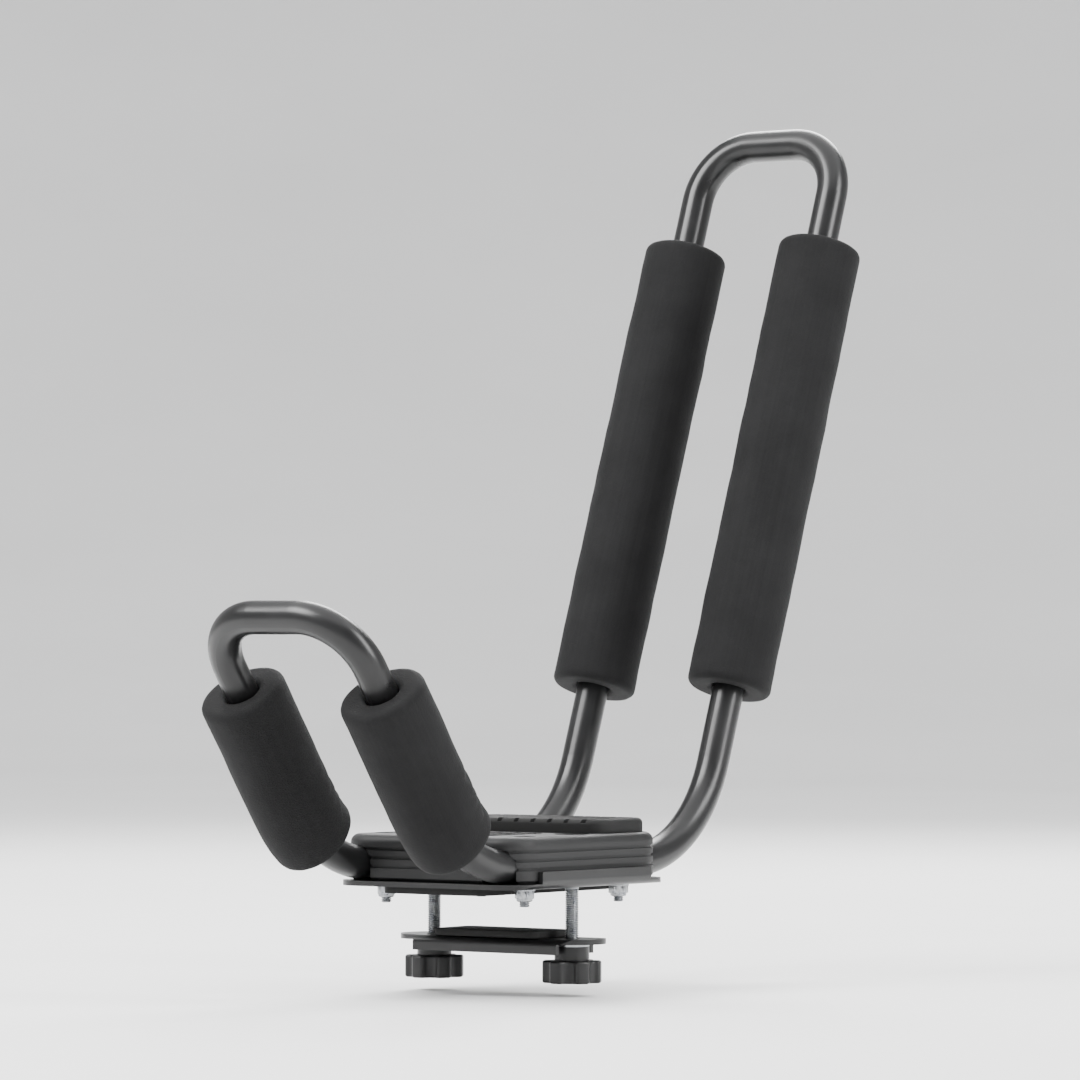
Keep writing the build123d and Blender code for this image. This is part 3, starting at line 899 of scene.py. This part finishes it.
@dataclass
class FoamSleeve:
    """A foam sleeve on one leg of an arm."""

    arm: Arm
    end: End
    leg_x: float = 0.050
    outer: float = 0.025
    inner: float = 0.00975
    end_round: float = 0.0038
    unevenness: float = 0.0016
    crease_depth: float = 0.0026
    crease_pitch: float = 0.0105
    crease_start: float = 0.004
    crease_past_bend: float = 0.022
    crease_drift: float = 2.4
    crease_edge: float = 1.9
    spacing: float = 0.0015
    sharp: float = math.radians(70)

    @property
    def name(self) -> str:
        """The piece's name."""
        return f"{self.arm.word}_sleeve_{self.end.word}"

    def centre_line(self) -> bpy.types.Curve:
        """The leg's centre line inside the sleeve, with its stretch of the bend as one arc.

        Returns:
            A curve with one Bezier spline.
        """
        sizes = self.arm.value
        x = self.end.value * self.leg_x
        up = sizes.direction(sizes.turn)
        first = sizes.bend_point(x, sizes.turn) + up * sizes.bare_low
        last = sizes.bend_point(x, sizes.turn) + up * (sizes.straight - sizes.bare_high)
        none = Vector()
        places = [(first, none, none), (last, none, none)]
        if sizes.wrap:
            low = sizes.turn - sizes.wrap
            handle = 4 / 3 * math.tan(sizes.wrap / 4) * sizes.bend
            places[0] = (first, up * handle, none)
            places.insert(0, (sizes.bend_point(x, low), none, sizes.direction(low) * handle))
        curve = bpy.data.curves.new(self.name, "CURVE")
        curve.dimensions = "3D"
        curve.resolution_u = 24
        spline = curve.splines.new("BEZIER")
        spline.bezier_points.add(len(places) - 1)
        for point, (place, before, after) in zip(spline.bezier_points, places):
            point.co = place
            point.handle_left_type = point.handle_right_type = "FREE"
            point.handle_left = place - before
            point.handle_right = place + after
        return curve

    def build(self) -> Object:
        """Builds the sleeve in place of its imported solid.

        Returns:
            The piece.
        """
        sizes = self.arm.value
        bent = sizes.wrap * sizes.bend
        length = bent + sizes.straight - sizes.bare_low - sizes.bare_high
        mesh = Shape.SLEEVE.run(self.centre_line(), {
            "Rings": round(2 * (length + self.outer - self.inner) / self.spacing),
            "Segments": round(FULL_TURN * self.outer / self.spacing),
            "Outer Radius": self.outer, "Inner Radius": self.inner, "End Round": self.end_round,
            "Unevenness": self.unevenness, "Crease Depth": self.crease_depth if bent else 0.0,
            "Crease Pitch": self.crease_pitch, "Crease Start": self.crease_start,
            "Crease End": bent + self.crease_past_bend, "Crease Drift": self.crease_drift,
            "Crease Edge": self.crease_edge, "Inside": sizes.inner_side(sizes.turn - sizes.wrap / 2),
            "Seed": self.end.value + 3.0 * sizes.side, "Material": FOAM.material()})
        node = f"{self.arm.word}_pad_{self.end.word}"
        piece = add_piece(self.name, clean(mesh, self.sharp), "carrier", FOAM, node)
        return piece


@dataclass
class RubberPad:
    """A moulded rubber pad with rounded edges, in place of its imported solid."""

    node: str
    name: str
    body: str
    edge: float = 0.0006
    edge_segments: int = 3
    flat: float = math.radians(1.0)
    corner: float = math.radians(30)
    sharp: float = math.radians(40)

    def build(self) -> Object:
        """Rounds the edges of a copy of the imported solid.

        Returns:
            The piece.
        """
        rounded = modified(self._plain_copy(), "BEVEL", {
            "width": self.edge, "segments": self.edge_segments, "limit_method": "ANGLE",
            "angle_limit": self.corner}, {})
        return add_piece(self.name, clean(rounded, self.sharp), self.body, RUBBER, self.node)

    def _plain_copy(self) -> Mesh:
        """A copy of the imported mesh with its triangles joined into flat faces.

        Returns:
            The copy.
        """
        mesh = bpy.data.objects[self.node].data.copy()
        for layer in [item for item in mesh.attributes if item.name == "custom_normal"]:
            mesh.attributes.remove(layer)
        clean(mesh)
        edit = bmesh.new()
        edit.from_mesh(mesh)
        bmesh.ops.dissolve_limit(edit, angle_limit=self.flat, verts=edit.verts, edges=edit.edges)
        edit.to_mesh(mesh)
        edit.free()
        return mesh


@dataclass
class TubeFrame:
    """The two bent arms, the spigots that join them and the foam on them."""

    nodes: dict[str, Object]
    coated: tuple[str, ...] = ("tall_arm", "short_arm")
    plated: tuple[str, ...] = ("spigot_front", "spigot_rear")

    def build(self) -> None:
        """Dresses the tubes and puts the sleeves on."""
        COAT.dress(*(self.nodes[name] for name in self.coated))
        ZINC.dress(*(self.nodes[name] for name in self.plated))
        for arm in Arm:
            for end in End:
                FoamSleeve(arm, end).build()


@dataclass
class Base:
    """The moulded saddle on its plate, with the rubber and the screws that hold them together."""

    nodes: dict[str, Object]
    head_radius: float = 0.0055
    head_round: float = 0.002
    head_height: float = 0.0034
    head_edge: float = 0.0003
    socket: float = 0.002
    socket_depth: float = 0.0022
    socket_edge: float = 0.0002
    socket_flare: float = 0.0005
    thread: Thread = Thread(radius=0.003, pitch=0.001, depth=0.00061, top=0.001, tip=0.0006,
                            rings_per_turn=10.5)
    nut: LockNut = LockNut()
    turn: float = FULL_TURN / 6
    seed: int = 4

    def build(self) -> None:
        """Dresses the mouldings and plate and builds the fasteners and rubber."""
        SADDLE.dress(self.nodes["saddle"])
        COAT.dress(self.nodes["base_plate"])
        ZINC.dress(self.nodes["frame_washers"])
        RubberPad("hull_rest", "rubber_rest", "carrier").build()
        RubberPad("base_pad", "crossbar_rubber", "carrier").build()
        self._four("frame_screw_set", self._screw(), ZINC, "frame_screws")
        low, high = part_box("frame_nuts")
        self._four("frame_nut_set", self.nut.metal(low.z, high.z), ZINC, "frame_nuts")
        self._four("nut_collar_set", self.nut.nylon(low.z), KNOB)

    def _four(self, name: str, one: Mesh, finish: Finish, *nodes: str) -> Object:
        """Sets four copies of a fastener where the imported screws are.

        Args:
            name: The piece's name.
            one: One fastener on the Z axis.
            finish: Its finish.
            nodes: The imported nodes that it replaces.

        Returns:
            The piece.
        """
        low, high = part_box("frame_screws")
        head = 2 * self.head_radius
        mesh = Shape.SET.run(one, {
            "Spacing X": high.x - low.x - head, "Spacing Y": high.y - low.y - head, "Turn": self.turn,
            "Seed": self.seed, "Material": finish.material()})
        return add_piece(name, clean(mesh), "carrier", finish, *nodes)

    def _screw(self) -> Mesh:
        """A button head screw with a hexagon socket, threaded where it leaves its nut.

        Returns:
            Its mesh, on the Z axis.
        """
        low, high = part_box("frame_screws")
        seat = high.z - self.head_height
        crown = self.head_radius - self.head_round
        rings = [Ring(high.z - self.socket_depth, self.socket, Outline.HEXAGON),
                 Ring(high.z - self.socket_edge, self.socket, Outline.HEXAGON),
                 Ring(high.z, self.socket + self.socket_flare),
                 *arc_rings((crown, high.z - self.head_round), self.head_round, 90, 0, steps=6),
                 Ring(seat + self.head_edge, self.head_radius),
                 Ring(seat, self.head_radius - self.head_edge)]
        return self.thread.carry_on(rings, low.z)


@dataclass
class Clamp:
    """The clamp bar with its rubber, drawn up on two carriage bolts by star knobs."""

    nodes: dict[str, Object]
    head_radius: float = 0.0095
    head_rim: float = 0.0011
    head_height: float = 0.0046
    head_edge: float = 0.0003
    head_flat: float = 0.06
    neck: float = 0.004
    neck_height: float = 0.0021
    thread: Thread = Thread(radius=0.004, pitch=0.00125, depth=0.00074, top=0.0035, tip=0.0009,
                            rings_per_turn=9.0)

    def build(self) -> None:
        """Dresses the bar, washers and knobs and builds the bolts and rubber."""
        COAT.dress(self.nodes["clamp_bar"])
        RubberPad("clamp_pad", "clamp_rubber", "clamp").build()
        for end in End:
            KNOB.dress(self.nodes[f"knob_{end.word}"])
            BRASS.dress(self.nodes[f"knob_bush_{end.word}"])
            ZINC.dress(self.nodes[f"clamp_washer_{end.word}"])
            self._bolt(f"clamp_bolt_{end.word}")

    def _bolt(self, node: str) -> Object:
        """A carriage bolt: domed head, square neck, shank and thread.

        Args:
            node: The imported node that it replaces.

        Returns:
            The piece.
        """
        low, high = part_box(node)
        seat = high.z - self.head_height
        rise = self.head_height - self.head_rim
        dome = (self.head_radius ** 2 + rise ** 2) / (2 * rise)
        rim = math.degrees(math.asin(self.head_radius / dome))
        rings = [*arc_rings((0.0, high.z - dome), dome, 90 - rim * self.head_flat, 90 - rim, steps=10),
                 Ring(seat + self.head_edge, self.head_radius),
                 Ring(seat, self.head_radius - self.head_edge),
                 Ring(seat, self.neck, Outline.SQUARE),
                 Ring(seat - self.neck_height, self.neck, Outline.SQUARE)]
        mesh = self.thread.carry_on(rings, low.z)
        mesh.transform(Matrix.Translation(((low.x + high.x) / 2, 0, 0)))
        return add_piece(f"{node}_threaded", clean(mesh), "carrier", ZINC, node)


def aim_at(obj: Object, aim: Vector, azimuth: float, elevation: float, distance: float) -> None:
    """Puts a light or camera round a point and turns it there.

    Args:
        obj: The light or camera.
        aim: The point.
        azimuth: Degrees round the Z axis from -Y towards +X.
        elevation: Degrees up from level.
        distance: Metres from the point.
    """
    around, up = math.radians(azimuth), math.radians(elevation)
    away = Vector((math.sin(around) * math.cos(up), -math.cos(around) * math.cos(up), math.sin(up)))
    obj.location = aim + away * distance
    obj.rotation_euler = away.to_track_quat("Z", "Y").to_euler()


@dataclass
class SoftLight:
    """One soft box, aimed at the carrier."""

    name: str
    azimuth: float
    elevation: float
    distance: float
    size: tuple[float, float]
    power: float

    def place(self, aim: Vector) -> None:
        """Adds the light.

        Args:
            aim: The point that it faces.
        """
        lamp = bpy.data.lights.new(self.name, "AREA")
        lamp.shape = "RECTANGLE"
        lamp.size, lamp.size_y = self.size
        lamp.energy = self.power
        aim_at(add_object(self.name, lamp), aim, self.azimuth, self.elevation, self.distance)


@dataclass
class Studio:
    """Floor, light and camera."""

    floor_z: float
    azimuth: float = 37.0
    elevation: float = -0.8
    lens: float = 200.0
    distance: float = 3.5
    farthest: float = 50.0
    aim: Vector = field(default_factory=lambda: Vector((0.0, 0.036, 0.203)))
    floor_radius: float = 4.5
    floor_segments: int = 96
    wall_radius: float = 11.0
    wall_height: float = 8.0
    ambient: float = 0.42
    ambient_colour: Colour = (0.95, 0.96, 1.0, 1.0)
    lights: tuple[SoftLight, ...] = (
        SoftLight("key", -28.0, 42.0, 2.3, (1.4, 1.0), 105.0),
        SoftLight("side", 100.0, 24.0, 2.2, (0.6, 1.6), 60.0),
        SoftLight("rim", 205.0, 35.0, 2.4, (1.5, 0.8), 80.0),
        SoftLight("top", 20.0, 90.0, 6.4, (11.0, 11.0), 900.0),
    )

    def build(self) -> None:
        """Sets up the studio."""
        self._floor()
        self._camera()
        for light in self.lights:
            light.place(self.aim)
        world = bpy.data.worlds.new("studio")
        bpy.context.scene.world = world
        world.use_nodes = True
        ground = world.node_tree.nodes["Background"]
        ground.inputs["Color"].default_value = self.ambient_colour
        ground.inputs["Strength"].default_value = self.ambient

    def _floor(self) -> None:
        """A pale floor that curves up into a wall all round."""
        rise = self.wall_radius - self.floor_radius
        rings = [Ring(self.floor_z, self.floor_radius / 2),
                 *arc_rings((self.floor_radius, self.floor_z + rise), rise, -90, 0, steps=30),
                 Ring(self.floor_z + self.wall_height, self.wall_radius)]
        mesh = turned("studio_floor", rings, blank=True, segments=self.floor_segments)
        mesh.flip_normals()
        floor = add_object("studio_floor", mesh)
        PAPER.dress(floor)
        floor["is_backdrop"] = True

    def _camera(self) -> None:
        """The camera, at the photograph's viewing angle."""
        camera = add_object("camera", bpy.data.cameras.new("camera"))
        camera.data.lens = self.lens
        camera.data.clip_end = self.farthest
        aim_at(camera, self.aim, self.azimuth, self.elevation, self.distance)
        bpy.context.scene.camera = camera


def main() -> None:
    """Builds the carrier's sub-assemblies in order and sets up the studio."""
    logging.basicConfig(level=logging.INFO, format="%(name)s: %(message)s")
    for obj in list(bpy.data.objects):
        bpy.data.objects.remove(obj)
    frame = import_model()
    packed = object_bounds()
    for part in (TubeFrame(frame["nodes"]), Base(frame["nodes"]), Clamp(frame["nodes"])):
        part.build()
    slide = next(joint for joint in frame["joints"] if joint["name"] == "clamp_slide")
    Studio(packed[0].z + slide["range_m"][0]).build()


if __name__ == "__main__":
    main()
